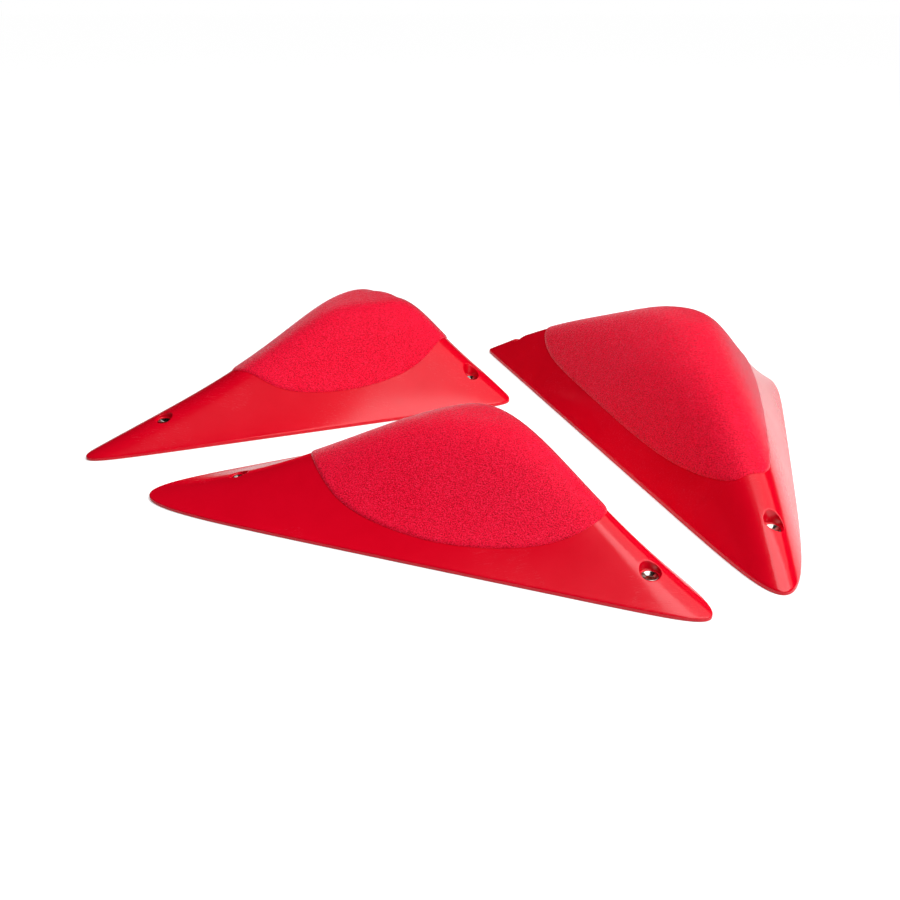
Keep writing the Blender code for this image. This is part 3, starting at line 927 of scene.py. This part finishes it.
plywoodLook = {
    "veneer": 1.5 * mm,
    "glueWidth": 0.12 * mm,
    "birch": (0.60, 0.43, 0.26, 1.0),
    "light": ((0.52, 0.35, 0.19, 1.0), (0.74, 0.58, 0.39, 1.0)),
    "dark": ((0.40, 0.25, 0.13, 1.0), (0.60, 0.43, 0.26, 1.0)),
    "glue": (0.16, 0.08, 0.04, 1.0),
    "glueShare": 0.7,
    "stain": (0.3, 0.2, 0.12, 1.0),
    "stainShare": 0.15,
    "stains": 40.0,
    "stretch": (1.0, 9.0, 3.0),
    "fibres": 190.0,
    "roughEnds": (0.3, 0.7, 0.62, 0.82),  # low and high fibre, roughness there
    "relief": (0.4, 0.15 * mm),
}


def makePlywood(uneven):
    # Veneers one over the other, light and dark by turns, with glue lines between: the
    # veneer's number is height / thickness, rounded down.
    look = plywoodLook
    material, tree, shader, place = newMaterial("birch_plywood", look["birch"], 0.7)
    split = addNode(tree, "ShaderNodeSeparateXYZ")
    tree.links.new(place, split.inputs[0])
    height = split.outputs["Z"]
    layer = addMath(tree, "PINGPONG", height, look["veneer"])
    glue = addRange(tree, layer, 0.0, look["glueWidth"], 1.0, 0.0)
    band = addMath(tree, "FLOOR", addMath(tree, "DIVIDE", height, look["veneer"]))
    odd = addMath(tree, "PINGPONG", band, 1.0)
    stretch = addNode(tree, "ShaderNodeMapping", {"Scale": look["stretch"]})
    tree.links.new(place, stretch.inputs["Vector"])
    along = stretch.outputs["Vector"]
    fibre = addNoise(tree, along, Scale=look["fibres"], Detail=5.0, Roughness=0.65)
    light, dark = addMix(tree, fibre, *look["light"]), addMix(tree, fibre, *look["dark"])
    lined = addOver(tree, addMix(tree, odd, light, dark), look["glue"], glue, look["glueShare"])
    cloud = useGroup(tree, uneven, place, Size=look["stains"])
    colour = addOver(tree, lined, look["stain"], cloud, look["stainShare"])
    tree.links.new(colour, shader.inputs["Base Color"])
    tree.links.new(addRange(tree, fibre, *look["roughEnds"]), shader.inputs["Roughness"])
    addBump(tree, shader, fibre, *look["relief"])
    return material


uneven = makeUneven()
scuffs = makeScuffs()
gelcoat = makeGelcoat(uneven, scuffs)
gripCoat = makeGripCoat(uneven)
laminate = makeLaminate(uneven)
steel = makeSteel(uneven, scuffs)
plywood = makePlywood(uneven)
print("materials made")

for name, sizes in holdForms.items():
    form = prepareForm(sizes)
    shell = buildShell(name, form, [gelcoat, laminate])
    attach(shell, "root")
    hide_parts(f"{name}_shell")
    coat = buildCoat(name, form, gripCoat)
    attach(coat, "root")
    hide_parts(f"{name}_grip_coat")
    for tip, tipName in enumerate(tipNames):
        cup = buildCup(name, form, tip, steel)
        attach(cup, "root")
        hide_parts(f"{name}_cup_{tipName}")
        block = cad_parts[f"{name}_block_{tipName}"]
        for slot in block.material_slots:
            slot.material = plywood
    print(name, "made:", len(shell.data.polygons), "shell faces,",
          len(coat.data.polygons), "coat faces")


# Stage, light and camera

stageSizes = {
    "floor": 60.0,
    "floorFinish": {"Base Color": (0.86, 0.86, 0.86, 1.0), "Roughness": 0.7,
                    "Specular IOR Level": 0.1},
    "floorGlow": (0.60, 0.90),  # added where the camera sees the table, near and far
    "glowEnds": (0.55, 1.50),   # what near and far mean, in metres from the middle
    "shadeReach": 0.03,         # how far from a hold's foot the table's glow fades, a painted contact shadow
    "shadeSamples": 8,
    "white": (1.0, 1.0, 1.0, 1.0),
    "roomLight": 0.12,          # soft light from all sides
    "roomMirror": 0.006,        # how bright the dark room looks in a reflection
    "camera": (-0.01036, -0.7617, 0.3665),
    "pitch": 26.5,              # camera's downward tilt, degrees
    "lens": 36.0,
    "sensor": 36.0,
    "sight": 60.0,              # how far the camera sees
}

# Each lamp's place, the spot it points at, its width and depth, its power, and whether it
# is a fill.
lamps = {
    "near_softbox": ((0.53, -0.64, 0.50), (0.53, -0.64, 0.0), 0.82, 0.85, 7.6, False),
    "softbox_edge": ((0.76, 0.02, 0.55), (0.76, 0.02, 0.0), 1.24, 0.55, 2.1, False),
    "side_fill": ((1.45, -0.80, 1.23), (0.05, -0.05, 0.0), 0.80, 0.80, 21.0, True),
    "overhead_fill": ((0.34, -0.16, 1.45), (0.34, -0.16, 0.0), 1.40, 1.40, 17.8, True),
}


def makeFloor():
    # A pale table. Where the camera sees it, it also glows, more towards the distance, so that it
    # is white and keeps the lamps' soft shadow. The glow fades close to a hold's foot and under
    # it, which is a painted contact shadow.
    mesh = bpy.data.meshes.new("table")
    half = 0.5 * stageSizes["floor"]
    corners = [(-half, -half, 0), (half, -half, 0), (half, half, 0), (-half, half, 0)]
    mesh.from_pydata(corners, [], [(0, 1, 2, 3)])
    floor = bpy.data.objects.new("table", mesh)
    bpy.context.scene.collection.objects.link(floor)
    material = bpy.data.materials.new("pale_table")
    material.use_nodes = True
    tree = material.node_tree
    shader = tree.nodes["Principled BSDF"]
    for label, value in stageSizes["floorFinish"].items():
        shader.inputs[label].default_value = value
    glow = addNode(tree, "ShaderNodeEmission")
    # Occlusion within shadeReach dims the glow beside and under a hold: a painted contact shadow.
    paintedFootShade = addNode(tree, "ShaderNodeAmbientOcclusion",
                       {"Distance": stageSizes["shadeReach"]}, samples=stageSizes["shadeSamples"])
    tree.links.new(paintedFootShade.outputs["Color"], glow.inputs["Color"])
    away = addNode(tree, "ShaderNodeVectorMath", operation="LENGTH")
    tree.links.new(tree.nodes.new("ShaderNodeTexCoord").outputs["Object"], away.inputs[0])
    strength = addRange(
        tree, away.outputs["Value"], *stageSizes["glowEnds"], *stageSizes["floorGlow"])
    tree.links.new(strength, glow.inputs["Strength"])
    both = tree.nodes.new("ShaderNodeAddShader")
    tree.links.new(shader.outputs[0], both.inputs[0])
    tree.links.new(glow.outputs[0], both.inputs[1])
    rays = tree.nodes.new("ShaderNodeLightPath")
    pick = tree.nodes.new("ShaderNodeMixShader")
    tree.links.new(rays.outputs["Is Camera Ray"], pick.inputs[0])
    tree.links.new(shader.outputs[0], pick.inputs[1])
    tree.links.new(both.outputs[0], pick.inputs[2])
    tree.links.new(pick.outputs[0], tree.nodes["Material Output"].inputs["Surface"])
    mesh.materials.append(material)


def makeWorld():
    # A studio that lights softly from all sides, looks dark in reflections and is white
    # behind the table.
    world = bpy.data.worlds.new("studio")
    world.use_nodes = True
    tree = world.node_tree
    room = tree.nodes["Background"]
    room.inputs["Color"].default_value = stageSizes["white"]
    rays = tree.nodes.new("ShaderNodeLightPath")
    strength = addRange(tree, rays.outputs["Is Glossy Ray"], 0.0, 1.0,
                        stageSizes["roomLight"], stageSizes["roomMirror"])
    tree.links.new(strength, room.inputs["Strength"])
    white = addNode(tree, "ShaderNodeBackground", {"Color": stageSizes["white"], "Strength": 1.0})
    pick = tree.nodes.new("ShaderNodeMixShader")
    tree.links.new(rays.outputs["Is Camera Ray"], pick.inputs[0])
    tree.links.new(room.outputs[0], pick.inputs[1])
    tree.links.new(white.outputs[0], pick.inputs[2])
    tree.links.new(pick.outputs[0], tree.nodes["World Output"].inputs["Surface"])
    bpy.context.scene.world = world


def addLamp(name, place, target, width, depth, power, fill):
    # A flat rectangular softbox. A fill lights surfaces without showing in their gloss; the
    # others are only seen in what is glossy.
    lamp = bpy.data.lights.new(name, "AREA")
    lamp.shape = "RECTANGLE"
    lamp.size = width
    lamp.size_y = depth
    lamp.energy = power
    holder = bpy.data.objects.new(name, lamp)
    holder.location = place
    holder.rotation_euler = (Vector(target) - Vector(place)).to_track_quat("-Z", "Y").to_euler()
    holder.visible_camera = False
    holder.visible_glossy = not fill
    holder.visible_diffuse = fill
    bpy.context.scene.collection.objects.link(holder)


def makeCamera():
    camera = bpy.data.cameras.new("camera")
    camera.lens = stageSizes["lens"]
    camera.sensor_width = stageSizes["sensor"]
    camera.clip_end = stageSizes["sight"]
    holder = bpy.data.objects.new("camera", camera)
    holder.location = stageSizes["camera"]
    holder.rotation_euler = (math.radians(90.0 - stageSizes["pitch"]), 0.0, 0.0)
    bpy.context.scene.collection.objects.link(holder)
    bpy.context.scene.camera = holder


makeFloor()
makeWorld()
for name, settings in lamps.items():
    addLamp(name, *settings)
makeCamera()
bpy.context.scene.view_settings.view_transform = "Standard"
print("stage, lamps and camera set")
